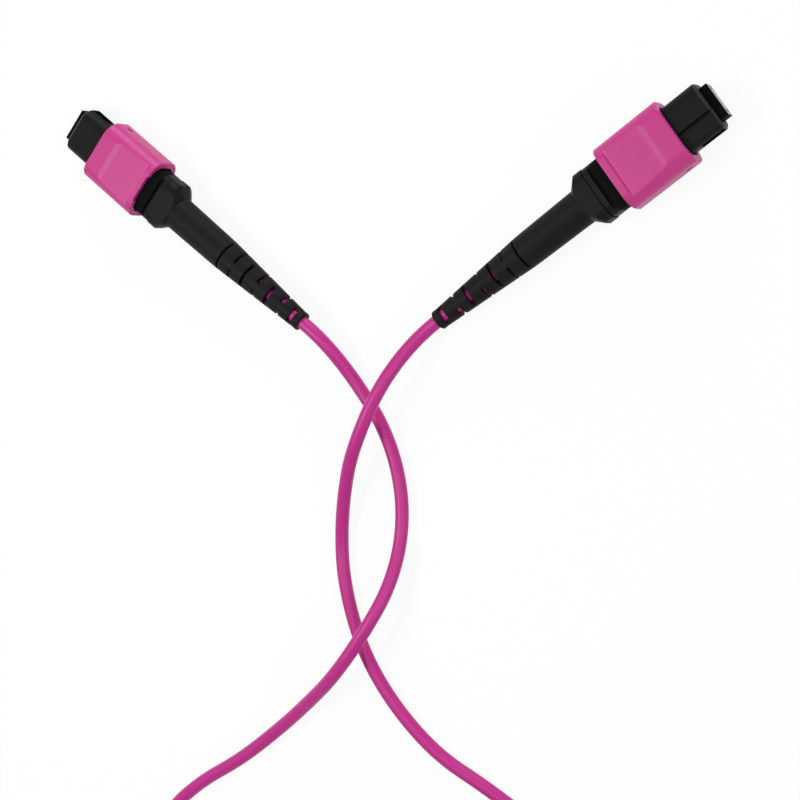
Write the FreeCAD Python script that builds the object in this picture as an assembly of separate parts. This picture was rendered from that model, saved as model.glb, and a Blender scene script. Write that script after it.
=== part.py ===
import FreeCAD, Part
import math
import os

# A fibre patch cable with a twelve-fibre push-on connector at each end. Millimetres, +Z up.
# Each connector is drawn on its own axis: x = 0 at the ferrule's end face, -x towards the cable.
# The part's origin lies on the table, under the middle of the front band of sleeve a.

# Ferrule
ferrule_width = 6.4
ferrule_height = 2.5
ferrule_nose_length = 6.0
ferrule_edge_chamfer = 0.15
flange_step = 0.25
flange_length = 2.0
guide_hole_diameter = 0.70
guide_hole_spacing = 4.6
ferrule_projection = 1.5
ferrule_travel = 1.2

# Fibres and the small soft sleeve round them
ribbon_width = 3.1
ribbon_thickness = 0.32
ribbon_clearance = 0.05
ferrule_boot_wall = 0.15
ferrule_boot_depth = 3.5
ferrule_boot_tail = 2.2

# Pin clamp and ferrule spring
clamp_length = 2.6
clamp_margin = 0.1
ferrule_spring_solid = 5.7
ferrule_spring_wire = 0.45
ferrule_spring_width = 5.6
ferrule_spring_turns = 4
ferrule_spring_sides = 8

# Inner housing
nose_side_wall = 1.0
nose_roof = 1.3
nose_corner = 2.2
nose_chamfer_length = 0.5
nose_chamfer_depth = 0.4
nose_exposed = 6.8
key_step = 0.5
key_edge_offset = 0.9
latch_recess_depth = 0.6
latch_recess_height = 2.2
latch_recess_length = 4.5
latch_recess_setback = 0.5
block_side_step = 0.3
block_top_step = 0.15
block_corner = 2.2
block_reserve = 1.1
block_wall = 1.0
band_groove_width = 0.7
band_groove_depth = 0.6
band_strip_width = 1.0
ferrule_clearance = 0.15
cavity_clearance = 0.1
seat_gap = 0.02

# Coupling sleeve
sleeve_side_wall = 1.05
sleeve_roof = 0.85
sleeve_corner = 3.4
sleeve_length = 13.0
sleeve_travel = 2.5
sleeve_clearance = 0.2
sleeve_lip_clearance = 0.25
sleeve_lip_length = 1.6
sleeve_edge = 0.25
passage_corner_share = 0.55
grip_band_length = 3.6
grip_dip_length = 1.2
grip_dip_depth = 0.28
grip_recess_depth = 0.45
grip_rim_length = 1.35
grip_step_slope = 0.25
rim_notch_width = 5.5
rim_notch_depth = 0.3
side_hole_length = 1.3
side_hole_height = 0.7
side_hole_setback = 1.5

# Coupling springs with the sleeve's inner tabs
tab_setback = 4.6
tab_length = 1.3
tab_height = 1.2
tab_clearance = 0.1
tab_root = 0.2
spring_channel_depth = 0.8
spring_channel_height = 1.5
coupling_spring_solid = 2.0
coupling_spring_diameter = 1.1
coupling_spring_wire = 0.22
coupling_spring_turns = 4
coupling_spring_sides = 6

# Back body
back_side_step = 0.1
back_top_step = 0.15
back_corner = 2.2
back_length = 3.4
back_corner_cut = 1.75
back_round_margin = 0.1
parting_gap = 0.12
plug_clearance = 0.05
latch_length = 1.2
latch_height = 1.4
latch_reach = 0.6
latch_root = 0.2
latch_clearance = 0.1
latch_setback = 4.4
stem_diameter = 4.0
stem_length = 6.0
stem_sides = 16

# Crimp ring
crimp_wall = 0.3
crimp_clearance = 0.05
crimp_setback = 0.3
crimp_overhang = 1.6
crimp_sides = 6

# Strain relief boot
boot_diameter = 6.5
boot_shoulder_diameter = 6.1
boot_shoulder_length = 12.8
boot_tail_wall = 0.4
boot_length = 33.2
boot_collar_length = 0.8
boot_collar_height = 0.08
boot_clearance = 0.05
boot_bore_clearance = 0.1
boot_bore_sides = 8
boot_sides = 24
boot_end_wall = 1.5
slot_stations = 7
slot_first_setback = 0.5
slot_width_first = 0.4
slot_width_last = 0.9
slot_bridge = 1.5

# Cable
cable_diameter = 2.5
cable_sides = 8
cable_inset = 0.9
cable_exit_run = 5.7
hump_clearance = 3.0
bend_share = 0.45
cable_length = 1000.0

# Where connector b lies on the table: the point under its sleeve band, and its turn in degrees
connector_b_x = -88.2
connector_b_y = 64.95
connector_b_turn = 106.2

# Widths and heights, each from the piece inside it
flange_width = ferrule_width + 2 * flange_step
flange_height = ferrule_height + 2 * flange_step
nose_width = flange_width + 2 * (cavity_clearance + nose_side_wall)
nose_height = flange_height + 2 * (cavity_clearance + nose_roof)
block_width = nose_width + 2 * block_side_step
block_height = nose_height + 2 * block_top_step
sleeve_width = block_width + 2 * (sleeve_clearance + sleeve_side_wall)
sleeve_height = block_height + 2 * (sleeve_clearance + sleeve_roof)
back_width = block_width + 2 * back_side_step
back_height = block_height + 2 * back_top_step
boot_tail_diameter = cable_diameter + 2 * (boot_bore_clearance + boot_tail_wall)

# Lengths which the travels set
ferrule_spring_length = ferrule_spring_solid + ferrule_travel
coupling_spring_length = coupling_spring_solid + sleeve_travel
block_exposed = sleeve_travel + block_reserve

# Stations along the connector axis
nose_front = -ferrule_projection
flange_front = -ferrule_nose_length
flange_rear = flange_front - flange_length
clamp_rear = flange_rear - clamp_length
spring_seat = clamp_rear - ferrule_spring_length
sleeve_front = nose_front - nose_exposed
sleeve_rear = sleeve_front - sleeve_length
housing_rear = sleeve_rear - block_exposed
back_front = housing_rear - parting_gap
back_rear = back_front - back_length
stem_rear = back_rear - stem_length
cable_start = stem_rear - cable_inset
boot_shoulder = back_rear - boot_shoulder_length
boot_rear = back_rear - boot_length
slot_first = boot_shoulder - slot_first_setback
slot_last = boot_rear + boot_end_wall + slot_width_last
tab_front = sleeve_front - tab_setback
tab_rear = tab_front - tab_length
channel_front = tab_front + seat_gap
channel_rear = tab_rear - coupling_spring_length
block_front = channel_rear - block_wall
origin_station = sleeve_front - grip_band_length / 2
axis_height = sleeve_height / 2

# Shared inner sizes
cavity_width = flange_width + 2 * cavity_clearance
cavity_height = flange_height + 2 * cavity_clearance
channel_floor = nose_width / 2 - spring_channel_depth
passage_width = ribbon_width + 4 * ribbon_clearance
passage_height = 4 * ribbon_thickness
ferrule_boot_width = ribbon_width + 2 * (ribbon_clearance + ferrule_boot_wall)
ferrule_boot_height = ribbon_thickness + 2 * (ribbon_clearance + ferrule_boot_wall)
crimp_bore = stem_diameter + 2 * crimp_clearance
crimp_rear = cable_start - crimp_overhang


def vector(x, y, z):
    return FreeCAD.Vector(x, y, z)


def block(front, rear, low_y, high_y, low_z, high_z):
    corner = vector(rear, low_y, low_z)
    return Part.makeBox(front - rear, high_y - low_y, high_z - low_z, corner)


def centred_block(front, rear, width, height):
    return block(front, rear, -width / 2, width / 2, -height / 2, height / 2)


def rod(front, rear, diameter, y=0.0):
    return Part.makeCylinder(diameter / 2, front - rear, vector(rear, y, 0), vector(1, 0, 0))


def rounded_wire(station, width, height, corner):
    """Closed rounded rectangle across the axis at one station."""
    y = width / 2
    z = height / 2
    inner_y = y - corner
    inner_z = z - corner
    edges = []
    corners = [
        (inner_y, inner_z, 0),
        (-inner_y, inner_z, 90),
        (-inner_y, -inner_z, 180),
        (inner_y, -inner_z, 270),
    ]
    ends = []
    for centre_y, centre_z, start in corners:
        points = []
        for angle in (start, start + 45, start + 90):
            turn = math.radians(angle)
            across = centre_y + corner * math.cos(turn)
            points.append(vector(station, across, centre_z + corner * math.sin(turn)))
        ends.append(points)
    for index, points in enumerate(ends):
        edges.append(Part.Arc(points[0], points[1], points[2]).toShape())
        edges.append(Part.LineSegment(points[2], ends[(index + 1) % 4][0]).toShape())
    return Part.Wire(edges)


def rounded_bar(front, rear, width, height, corner):
    face = Part.Face(rounded_wire(rear, width, height, corner))
    return face.extrude(vector(front - rear, 0, 0))


def cut_corner_bar(front, rear, width, height, leg):
    """Bar whose long corners are cut at 45 degrees."""
    y = width / 2
    z = height / 2
    upper = [(y, z - leg), (y - leg, z), (leg - y, z), (-y, z - leg)]
    lower = [(-y, leg - z), (leg - y, -z), (y - leg, -z), (y, leg - z)]
    points = [vector(rear, across, up) for across, up in upper + lower]
    return Part.Face(Part.makePolygon(points + [points[0]])).extrude(vector(front - rear, 0, 0))


def even_ring(station, reach, sides):
    """Closed outline of equal flats round the axis; reach is from the axis to a corner."""
    points = []
    for index in range(sides + 1):
        turn = 2 * math.pi * (index + 0.5) / sides
        points.append(vector(station, reach * math.cos(turn), reach * math.sin(turn)))
    return Part.makePolygon(points)


def even_prism(front, rear, across_flats, sides):
    """Prism of equal flats along the axis, such as a crimped ring or a faceted bore."""
    ring = even_ring(rear, across_flats / 2 / math.cos(math.pi / sides), sides)
    return Part.Face(ring).extrude(vector(front - rear, 0, 0))


def faceted_turn(profile, sides):
    """Solid of flats round the axis through rings at (x, radius), as light as a turned shape can be."""
    rings = [even_ring(x, radius, sides) for x, radius in profile]
    flats = [Part.Face(rings[0]), Part.Face(rings[-1])]
    for ring, following in zip(rings, rings[1:]):
        near = [vertex.Point for vertex in ring.Vertexes]
        far = [vertex.Point for vertex in following.Vertexes]
        for index in range(sides):
            corners = [near[index - 1], near[index], far[index], far[index - 1]]
            flats.append(Part.Face(Part.makePolygon(corners + [corners[0]])))
    return Part.Solid(Part.Shell(flats))


def rounded_taper(front, rear, front_inset, width, height, corner):
    """Bar whose front end is inset all round, ruled to its full section at the rear."""
    small = rounded_wire(front, width - 2 * front_inset, height - 2 * front_inset, corner - front_inset)
    large = rounded_wire(rear, width, height, corner)
    return Part.makeLoft([large, small], True, True)


def wound_spring(front, rear, reach_y, reach_z, wire, turns, per_turn, centre_y=0.0):
    """Coil of square wire between two stations; reach is from the axis to the outside of the wire."""
    half = wire / 2
    steps = turns * per_turn
    first = front - half
    travel = (rear + half) - first
    sections = []
    for step in range(steps + 1):
        turn = 2 * math.pi * step / per_turn
        x = first + travel * step / steps
        corners = []
        for along, out in ((half, 0), (half, -wire), (-half, -wire), (-half, 0)):
            y = centre_y + (reach_y + out) * math.cos(turn)
            z = (reach_z + out) * math.sin(turn)
            corners.append(vector(x + along, y, z))
        sections.append(Part.makePolygon(corners + [corners[0]]))
    return Part.makeLoft(sections, True, True)


def make_ferrule():
    nose = ferrule_nose()
    flange = centred_block(flange_front, flange_rear, flange_width, flange_height)
    solid = nose.fuse(flange)
    for side in (-1, 1):
        solid = solid.cut(rod(1, flange_rear - 1, guide_hole_diameter, side * guide_hole_spacing / 2))
    pocket_width = ferrule_boot_width + 2 * ribbon_clearance
    pocket_height = ferrule_boot_height + 2 * ribbon_clearance
    pocket_front = flange_rear + ferrule_boot_depth + ribbon_clearance
    pocket = centred_block(pocket_front, flange_rear - 1, pocket_width, pocket_height)
    return solid.cut(pocket).removeSplitter()


def ferrule_nose():
    nose = centred_block(0, flange_front, ferrule_width, ferrule_height)
    front_edges = [edge for edge in nose.Edges if edge.BoundBox.XMin > -1e-6]
    return nose.makeChamfer(ferrule_edge_chamfer, front_edges)


def make_ferrule_boot():
    front = flange_rear + ferrule_boot_depth
    rear = flange_rear - ferrule_boot_tail
    sleeve = centred_block(front, rear, ferrule_boot_width, ferrule_boot_height)
    bore_width = ribbon_width + 2 * ribbon_clearance
    bore_height = ribbon_thickness + 2 * ribbon_clearance
    return sleeve.cut(centred_block(front + 1, rear - 1, bore_width, bore_height))


def make_pin_clamp():
    width = flange_width - 2 * clamp_margin
    height = flange_height - 2 * clamp_margin
    plate = centred_block(flange_rear, clamp_rear, width, height)
    window_width = ferrule_boot_width + 2 * ribbon_clearance
    window_height = ferrule_boot_height + 2 * ribbon_clearance
    plate = plate.cut(centred_block(flange_rear + 1, clamp_rear - 1, window_width, window_height))
    half_notch = guide_hole_diameter / 2
    for side in (-1, 1):
        inner = guide_hole_spacing / 2 - half_notch
        plate = plate.cut(side_block(side, flange_rear + 1, clamp_rear - 1, inner, half_notch))
    return plate


def make_ferrule_spring():
    reach_y = ferrule_spring_width / 2
    reach_z = flange_height / 2 - clamp_margin
    turns = ferrule_spring_turns
    return wound_spring(
        clamp_rear, spring_seat, reach_y, reach_z, ferrule_spring_wire, turns, ferrule_spring_sides)


def make_fibre_ribbon():
    front = flange_rear + ferrule_boot_depth
    return centred_block(front, cable_start, ribbon_width, ribbon_thickness)


def make_inner_housing():
    chamfer_rear = nose_front - nose_chamfer_length
    tip = rounded_taper(nose_front, chamfer_rear, nose_chamfer_depth, nose_width, nose_height, nose_corner)
    nose = rounded_bar(chamfer_rear, block_front, nose_width, nose_height, nose_corner)
    rear = rounded_bar(block_front, housing_rear, block_width, block_height, block_corner)
    solid = tip.fuse(nose).fuse(rear)

    # Ferrule window, spring cavity and the shoulder between them
    window_width = ferrule_width + 2 * ferrule_clearance
    window_height = ferrule_height + 2 * ferrule_clearance
    shoulder = flange_front + seat_gap
    solid = solid.cut(centred_block(1, housing_rear - 1, window_width, window_height))
    solid = solid.cut(centred_block(shoulder, housing_rear - 1, cavity_width, cavity_height))

    # Key: the wide side is higher from one edge to a step past the middle
    step_top = nose_height / 2
    key_rear = tab_front
    key_cut = block(1, key_rear, -nose_width, -key_edge_offset, step_top - key_step, step_top + 1)
    solid = solid.cut(key_cut)

    # Latch recesses and spring channels in the narrow sides, latch windows in the rear block
    recess_front = nose_front - latch_recess_setback
    recess_rear = recess_front - latch_recess_length
    recess_floor = nose_width / 2 - latch_recess_depth
    half_recess = latch_recess_height / 2
    half_channel = spring_channel_height / 2
    half_window = latch_height / 2 + latch_clearance
    window_rear = housing_rear + latch_setback - latch_clearance
    window_front = window_rear + latch_length + 2 * latch_clearance
    for side in (-1, 1):
        solid = solid.cut(side_block(side, recess_front, recess_rear, recess_floor, half_recess))
        solid = solid.cut(side_block(side, channel_front, channel_rear, channel_floor, half_channel))
        solid = solid.cut(side_block(side, window_front, window_rear, cavity_width / 2 - 1, half_window))

    # Recessed band across both wide faces of the rear block, in front of a narrow strip
    groove_rear = housing_rear + band_strip_width
    groove_front = groove_rear + band_groove_width
    groove_floor = block_height / 2 - band_groove_depth
    for low in (groove_floor, -block_height):
        high = low + block_height - groove_floor
        groove = block(groove_front, groove_rear, -block_width, block_width, low, high)
        solid = solid.cut(groove)
    return solid.removeSplitter()


def side_block(side, front, rear, inner_y, half_height):
    """Cutter on one narrow side, from inner_y outwards."""
    outer_y = sleeve_width
    low = inner_y if side > 0 else -outer_y
    high = outer_y if side > 0 else -inner_y
    return block(front, rear, low, high, -half_height, half_height)


def make_coupling_sleeve():
    front_edge = rounded_taper(
        sleeve_front, sleeve_front - sleeve_edge, sleeve_edge, sleeve_width, sleeve_height, sleeve_corner)
    middle = rounded_bar(sleeve_front - sleeve_edge, sleeve_rear, sleeve_width, sleeve_height, sleeve_corner)
    solid = front_edge.fuse(middle)

    # Shallow finger recess on both wide faces, deepening to a step at the rear rim
    recess_front = sleeve_front - grip_band_length
    rim_front = sleeve_rear + grip_rim_length
    top = sleeve_height / 2
    floor = top - grip_recess_depth
    outline = [
        (recess_front, top),
        (recess_front - grip_dip_length, top - grip_dip_depth),
        (rim_front + grip_step_slope, floor),
        (rim_front, top),
        (rim_front, top + 1),
        (recess_front, top + 1),
    ]
    points = [vector(x, -sleeve_width, z) for x, z in outline]
    wedge = Part.Face(Part.makePolygon(points + [points[0]])).extrude(vector(0, 2 * sleeve_width, 0))
    flipped = wedge.copy()
    flipped.rotate(vector(0, 0, 0), vector(1, 0, 0), 180)
    solid = solid.cut(wedge).cut(flipped)

    # Passage for the housing, narrower at the front lip
    lip_rear = sleeve_front - sleeve_lip_length
    gap = 2 * sleeve_lip_clearance
    lip_corner = passage_corner_share * (nose_corner + sleeve_lip_clearance)
    lip = cut_corner_bar(sleeve_front + 1, lip_rear - 1, nose_width + gap, nose_height + gap, lip_corner)
    gap = 2 * sleeve_clearance
    bore_corner = passage_corner_share * (block_corner + sleeve_clearance)
    bore = cut_corner_bar(lip_rear, sleeve_rear - 1, block_width + gap, block_height + gap, bore_corner)
    solid = solid.cut(lip.fuse(bore))

    # Inner tabs which press the coupling springs
    half_tab = tab_height / 2
    inner = channel_floor + tab_clearance
    outer = block_width / 2 + sleeve_clearance + tab_root
    for side in (-1, 1):
        low = min(side * inner, side * outer)
        solid = solid.fuse(block(tab_front, tab_rear, low, low + outer - inner, -half_tab, half_tab))

    # Oblong hole near the front of each narrow side
    hole_front = sleeve_front - side_hole_setback
    hole_rear = hole_front - side_hole_length
    solid = solid.cut(centred_block(hole_front, hole_rear, 2 * sleeve_width, side_hole_height))

    # Shallow notch in the rear edge of both wide faces
    notch = centred_block(sleeve_rear + rim_notch_depth, sleeve_rear - 1, rim_notch_width, 2 * sleeve_height)
    return solid.cut(notch).removeSplitter()


def make_coupling_spring(side):
    centre = channel_floor + tab_clearance / 2 + coupling_spring_diameter / 2
    reach = coupling_spring_diameter / 2
    wire = coupling_spring_wire
    turns = coupling_spring_turns
    return wound_spring(
        tab_rear, channel_rear, reach, reach, wire, turns, coupling_spring_sides, side * centre)


def make_back_body():
    solid = rounded_bar(back_front, back_rear, back_width, back_height, back_corner)

    # Corners cut at 45 degrees in plan, towards the boot
    half = back_width / 2
    for side in (-1, 1):
        corner = vector(back_rear, side * half, -back_height)
        along = vector(back_rear + back_corner_cut, side * half, -back_height)
        inward = vector(back_rear, side * (half - back_corner_cut), -back_height)
        triangle = Part.Face(Part.makePolygon([corner, along, inward, corner]))
        solid = solid.cut(triangle.extrude(vector(0, 0, 2 * back_height)))

    # Rear edges turned down at 45 degrees to the boot's round
    rear_reach = boot_diameter / 2 + back_round_margin
    front_reach = rear_reach + back_length
    cone = Part.makeCone(rear_reach, front_reach, back_length, vector(back_rear, 0, 0), vector(1, 0, 0))
    solid = solid.common(cone)

    # Plug which carries the ferrule spring, with a snap latch on each narrow side
    plug_width = cavity_width - 2 * plug_clearance
    plug_height = cavity_height - 2 * plug_clearance
    solid = solid.fuse(centred_block(spring_seat, back_front, plug_width, plug_height))
    latch_rear = housing_rear + latch_setback
    latch_front = latch_rear + latch_length
    half_latch = latch_height / 2
    flank = plug_width / 2
    for side in (-1, 1):
        root = flank - latch_root
        tip = flank + latch_reach
        ramp = [(latch_front, root), (latch_front, flank), (latch_rear, tip), (latch_rear, root)]
        points = [vector(x, side * y, -half_latch) for x, y in ramp]
        latch = Part.Face(Part.makePolygon(points + [points[0]])).extrude(vector(0, 0, latch_height))
        solid = solid.fuse(latch)

    # Crimp stem and the passage for the fibres
    stem_ring = even_ring(stem_rear, stem_diameter / 2, stem_sides)
    solid = solid.fuse(Part.Face(stem_ring).extrude(vector(stem_length, 0, 0)))
    solid = solid.cut(centred_block(spring_seat + 1, stem_rear - 1, passage_width, passage_height))
    return solid.removeSplitter()


def make_crimp_ring():
    """Ring pressed to six flats over the stem."""
    front = back_rear - crimp_setback
    outer = even_prism(front, crimp_rear, crimp_bore + 2 * crimp_wall, crimp_sides)
    return outer.cut(even_prism(front + 1, crimp_rear - 1, crimp_bore, crimp_sides))


def make_boot():
    tail = boot_tail_diameter / 2
    collar = tail + boot_collar_height
    collar_front = boot_rear + boot_collar_length
    profile = [(back_rear, boot_diameter / 2), (boot_shoulder, boot_shoulder_diameter / 2), (boot_rear, tail)]
    solid = faceted_turn(profile, boot_sides)
    solid = solid.fuse(faceted_turn([(collar_front, collar), (boot_rear, collar)], boot_sides))

    # Seat for the crimp ring, then the cable's bore
    seat = crimp_bore + 2 * (crimp_wall + boot_clearance)
    seat_rear = crimp_rear - boot_clearance
    bore = cable_diameter + 2 * boot_bore_clearance
    solid = solid.cut(even_prism(back_rear + 1, seat_rear, seat, crimp_sides))
    solid = solid.cut(even_prism(back_rear + 1, boot_rear - 1, bore, boot_bore_sides))

    # Pairs of slots, by turns above and below or left and right, widening towards the tail
    reach = boot_diameter
    half_bridge = slot_bridge / 2
    for index in range(slot_stations):
        share = index / (slot_stations - 1)
        front = slot_first + (slot_last - slot_first) * share
        width = slot_width_first + (slot_width_last - slot_width_first) * share
        for side in (-1, 1):
            low = half_bridge if side > 0 else -reach
            high = reach if side > 0 else -half_bridge
            if index % 2 == 0:
                slot = block(front, front - width, -reach, reach, low, high)
            else:
                slot = block(front, front - width, low, high, -reach, reach)
            solid = solid.cut(slot)
    return solid


def lay_on_table(shape, end):
    """Move a piece from its connector's own axis to where that end of the cable lies."""
    shape.translate(vector(-origin_station, 0, axis_height))
    if end == "b":
        # End b lies with its key side down
        shape.rotate(vector(0, 0, axis_height), vector(1, 0, 0), 180)
        shape.rotate(vector(0, 0, 0), vector(0, 0, 1), connector_b_turn)
        shape.translate(vector(connector_b_x, connector_b_y, 0))
    return shape


def axis_point(station, end):
    point = Part.Vertex(vector(station, 0, 0))
    return lay_on_table(point, end).Point


def export(shape, name):
    shape.exportStep("parts/" + name + ".step")


def make_connector(end):
    pieces = {
        "ferrule": make_ferrule(),
        "ferrule_boot": make_ferrule_boot(),
        "pin_clamp": make_pin_clamp(),
        "ferrule_spring": make_ferrule_spring(),
        "fibre_ribbon": make_fibre_ribbon(),
        "inner_housing": make_inner_housing(),
        "coupling_sleeve": make_coupling_sleeve(),
        "coupling_spring_left": make_coupling_spring(1),
        "coupling_spring_right": make_coupling_spring(-1),
        "back_body": make_back_body(),
        "crimp_ring": make_crimp_ring(),
        "strain_relief_boot": make_boot(),
    }
    for name, shape in pieces.items():
        print(name, end, "solids", len(shape.Solids), shape.isValid(), "volume", round(shape.Volume, 2))
        export(lay_on_table(shape, end), name + "_" + end)


# Cable routes on the table, from each boot to the coil, as chosen points
cable_rest = cable_diameter / 2
hump_height = cable_diameter + hump_clearance + cable_rest
route_a = [
    (-67.3, -3.5, hump_height),
    (-77.9, -9.4, hump_height),
    (-85.0, -13.6, 3.6),
    (-91.9, -19.7, cable_rest),
    (-96.6, -26.9, cable_rest),
    (-100.3, -36.4, cable_rest),
    (-101.7, -45.4, cable_rest),
    (-101.2, -54.9, cable_rest),
    (-99.1, -63.8, cable_rest),
    (-94.8, -72.0, cable_rest),
    (-91.0, -80.9, cable_rest),
    (-90.6, -90.9, cable_rest),
    (-95.8, -99.6, cable_rest),
    (-105.6, -104.6, cable_rest),
    (-116.6, -105.0, cable_rest),
]
route_b = [
    (-72.6, 1.7, cable_rest),
    (-72.8, -8.9, cable_rest),
    (-75.9, -18.6, cable_rest),
    (-81.3, -26.7, 1.6),
    (-87.8, -33.2, 4.2),
    (-95.6, -37.4, hump_height),
    (-105.8, -40.8, hump_height),
    (-115.2, -41.8, 3.4),
    (-124.9, -42.6, cable_rest),
    (-136.3, -43.2, cable_rest),
    (-147.0, -43.0, cable_rest),
    (-157.4, -44.4, cable_rest),
    (-166.0, -49.6, cable_rest),
    (-170.2, -58.6, cable_rest),
    (-168.6, -68.6, cable_rest),
    (-162.8, -78.2, cable_rest),
    (-154.4, -87.0, cable_rest),
    (-144.2, -94.8, cable_rest),
    (-131.8, -101.2, cable_rest),
]

# Coil of the spare length, with its strap
coil_x = -122.0
coil_y = -88.0
coil_turn_radius = 6 * cable_diameter
coil_columns = 3
coil_sides = 20
coil_layers = 2
coil_layer_rise = 0.9
tie_thickness = 0.4
tie_gap = 0.1
tie_width = 6.0
tie_direction = 40.0
coil_half_width = coil_columns * cable_diameter / 2
coil_height = cable_diameter * (1 + (coil_layers - 1) * coil_layer_rise)
coil_bottom = tie_thickness + tie_gap


def route_points(end, points):
    start = axis_point(cable_start, end)
    exit_point = axis_point(boot_rear - cable_exit_run, end)
    return [start, exit_point] + [vector(x, y, z) for x, y, z in points]


def cable_section(centre, heading):
    """Plain outline of even flats within the jacket's round, across the cable."""
    across = heading.cross(vector(0, 0, 1)).normalize()
    up = across.cross(heading).normalize()
    corners = []
    for index in range(cable_sides + 1):
        turn = 2 * math.pi * (index + 0.5) / cable_sides
        corners.append(centre + (across * math.cos(turn) + up * math.sin(turn)) * (cable_diameter / 2))
    return Part.makePolygon(corners)


def cable_tube(points, name):
    """Tube along straight runs joined by tangent arcs as large as the runs allow."""
    edges = []
    radii = []
    last = points[0]
    for before, corner, after in zip(points, points[1:], points[2:]):
        incoming = (corner - before).normalize()
        outgoing = (after - corner).normalize()
        turn = incoming.getAngle(outgoing)
        reach = bend_share * min(before.distanceToPoint(corner), corner.distanceToPoint(after))
        radii.append(reach / math.tan(turn / 2))
        arc_start = corner - incoming * reach
        arc_end = corner + outgoing * reach
        bisector = (outgoing - incoming).normalize()
        depth = radii[-1] * (1 / math.cos(turn / 2) - 1)
        edges.append(Part.LineSegment(last, arc_start).toShape())
        edges.append(Part.Arc(arc_start, corner + bisector * depth, arc_end).toShape())
        last = arc_end
    edges.append(Part.LineSegment(last, points[-1]).toShape())
    path = Part.Wire(edges)
    heading = points[1] - points[0]
    section = cable_section(points[0], heading)
    tube = path.makePipeShell([section], True, False)
    wanted = Part.Face(section).Area * path.Length
    ratio = tube.Volume / wanted
    print(name, "length", round(path.Length, 1), "volume ratio", round(ratio, 4), tube.isValid())
    print(name, "smallest radius", round(min(radii), 1), "radii", [round(radius, 1) for radius in radii])
    return tube, path.Length


def make_coil():
    """Ring of the bundle's outer shape, its upper edges eased."""
    top = coil_bottom + coil_height
    ease = cable_diameter / 2
    shoulder = top - ease
    inner = coil_turn_radius - coil_half_width
    outer = coil_turn_radius + coil_half_width
    ring = faceted_turn([(coil_bottom, outer), (shoulder, outer), (top, outer - ease)], coil_sides)
    ring = ring.cut(faceted_turn([(coil_bottom, inner), (shoulder, inner), (top, inner + ease)], coil_sides))
    ring.rotate(vector(0, 0, 0), vector(0, 1, 0), -90)
    ring.translate(vector(coil_x, coil_y, 0))
    return ring


def make_tie():
    """Flat strap closed round the bundle, with room for the coil's bend across its width."""
    outer_wall = coil_turn_radius + coil_half_width + tie_gap
    inside = coil_turn_radius - coil_half_width
    bend = tie_width ** 2 / 8 / inside
    inner_wall = inside * math.cos(math.pi / coil_sides) - bend - tie_gap
    low = tie_thickness
    high = coil_bottom + coil_height + tie_gap
    half = tie_width / 2
    far = outer_wall + tie_thickness
    near = inner_wall - tie_thickness
    loop = block(far, near, -half, half, 0, high + tie_thickness)
    loop = loop.cut(block(outer_wall, inner_wall, -tie_width, tie_width, low, high))
    loop.rotate(vector(0, 0, 0), vector(0, 0, 1), tie_direction)
    loop.translate(vector(coil_x, coil_y, 0))
    return loop


os.makedirs("parts", exist_ok=True)
for connector_end in ("a", "b"):
    make_connector(connector_end)
run_a, length_a = cable_tube(route_points("a", route_a), "cable_run_a")
run_b, length_b = cable_tube(route_points("b", route_b), "cable_run_b")
export(run_a, "cable_run_a")
export(run_b, "cable_run_b")
export(make_coil(), "cable_coil")
export(make_tie(), "coil_tie")
spare = cable_length - length_a - length_b
coil_turns = spare / (2 * math.pi * coil_turn_radius)
print("spare length", round(spare, 1), "turns in the coil", round(coil_turns, 2))
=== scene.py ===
import bpy
import math
from mathutils import Matrix, Vector


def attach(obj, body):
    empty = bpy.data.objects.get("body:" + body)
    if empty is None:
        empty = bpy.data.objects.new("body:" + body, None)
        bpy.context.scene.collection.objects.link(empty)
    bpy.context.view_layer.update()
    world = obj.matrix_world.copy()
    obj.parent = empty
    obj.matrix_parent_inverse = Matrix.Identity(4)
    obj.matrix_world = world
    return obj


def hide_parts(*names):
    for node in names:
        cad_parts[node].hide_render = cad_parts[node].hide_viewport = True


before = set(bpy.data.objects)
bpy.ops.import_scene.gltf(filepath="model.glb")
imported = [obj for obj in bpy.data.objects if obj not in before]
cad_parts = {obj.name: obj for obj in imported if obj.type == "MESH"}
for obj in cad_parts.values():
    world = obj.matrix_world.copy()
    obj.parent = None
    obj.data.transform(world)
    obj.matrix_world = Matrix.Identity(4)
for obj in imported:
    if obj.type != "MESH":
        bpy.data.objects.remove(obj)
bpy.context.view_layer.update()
scene = bpy.context.scene
scene.view_settings.view_transform = "Standard"
mm = 0.001
print("frame loaded,", len(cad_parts), "nodes")


# camera, fitted to both connectors and to where the cable leaves the picture
camera = {
    "place": (0.05296, -0.0622, 0.27792),
    "ahead": (-0.39191, 0.18156, -0.90191),
    "right": (0.72824, -0.53786, -0.42472),
    "lens": 76.57, "sensor": 36,
}
ahead = Vector(camera["ahead"]).normalized()
right = Vector(camera["right"])
right = (right - right.dot(ahead) * ahead).normalized()
up = right.cross(ahead)
cameraData = bpy.data.cameras.new("studioCamera")
cameraData.lens = camera["lens"]
cameraData.sensor_width = camera["sensor"]
studioCamera = bpy.data.objects.new("studioCamera", cameraData)
scene.collection.objects.link(studioCamera)
turned = Matrix((right, up, -ahead)).transposed().to_4x4()
studioCamera.matrix_world = Matrix.Translation(camera["place"]) @ turned
scene.camera = studioCamera


mixA, mixB, mixColour = 6, 7, 2  # a Mix node's colour sockets: its two inputs and its output


def linear(hexColour):  # from sRGB, as colours are written, to the values that nodes take
    parts = [int(hexColour[i:i + 2], 16) / 255 for i in (1, 3, 5)]
    return [c / 12.92 if c <= 0.04045 else ((c + 0.055) / 1.055) ** 2.4 for c in parts] + [1.0]


def fillInputs(tree, node, inputs):
    for name, value in inputs.items():
        if isinstance(value, bpy.types.NodeSocket):
            tree.links.new(value, node.inputs[name])
        else:
            node.inputs[name].default_value = value


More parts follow.
